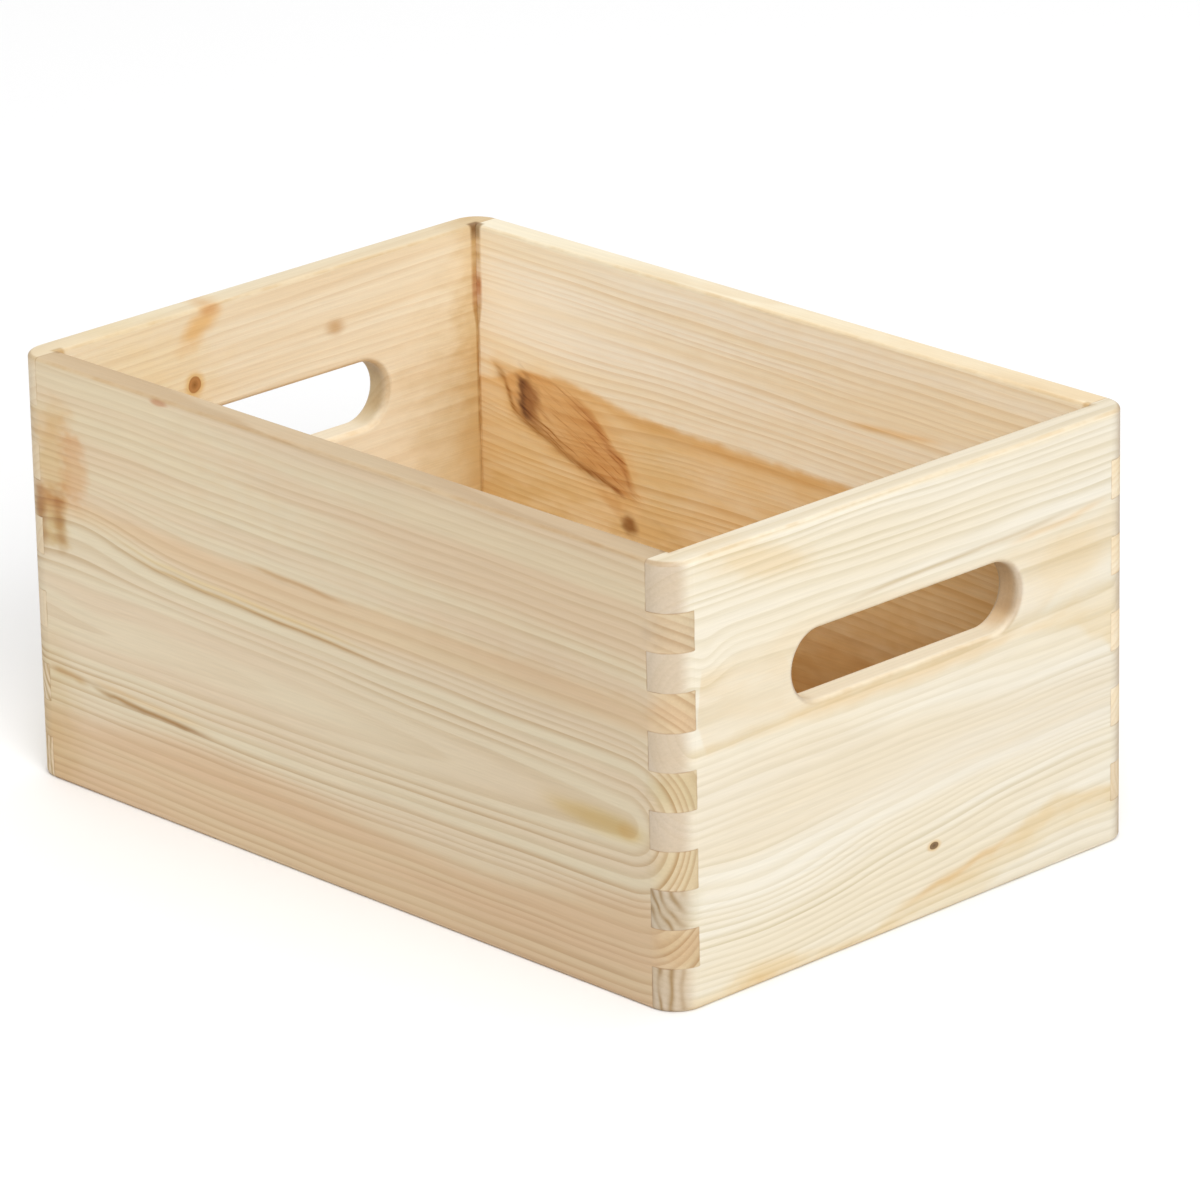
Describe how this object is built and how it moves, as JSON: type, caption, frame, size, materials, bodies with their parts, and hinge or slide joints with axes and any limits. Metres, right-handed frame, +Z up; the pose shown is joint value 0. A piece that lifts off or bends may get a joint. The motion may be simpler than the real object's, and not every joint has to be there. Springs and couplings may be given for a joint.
{
  "type": "wooden crate",
  "caption": "Open-topped pine crate with finger-jointed rounded corners, a rebated bottom panel and an oblong hand slot in each end.",
  "frame": {"origin": "centre of the footprint, on the surface the crate stands on", "axes": "+X along the crate's length towards the right end board, +Y across it towards the back side board, +Z up"},
  "size_m": [0.294, 0.2, 0.142],
  "materials": {
    "pine": "bare planed and sanded pine, matt",
    "pine_plywood": "bare sanded plywood, matt",
    "pin_steel": "bright drawn wire"
  },
  "bodies": {
    "root": {"front_side_board": "pine", "back_side_board": "pine", "left_end_board": "pine", "right_end_board": "pine", "bottom_panel": "pine_plywood", "bottom_pins": "pin_steel"}
  },
  "joints": []
}
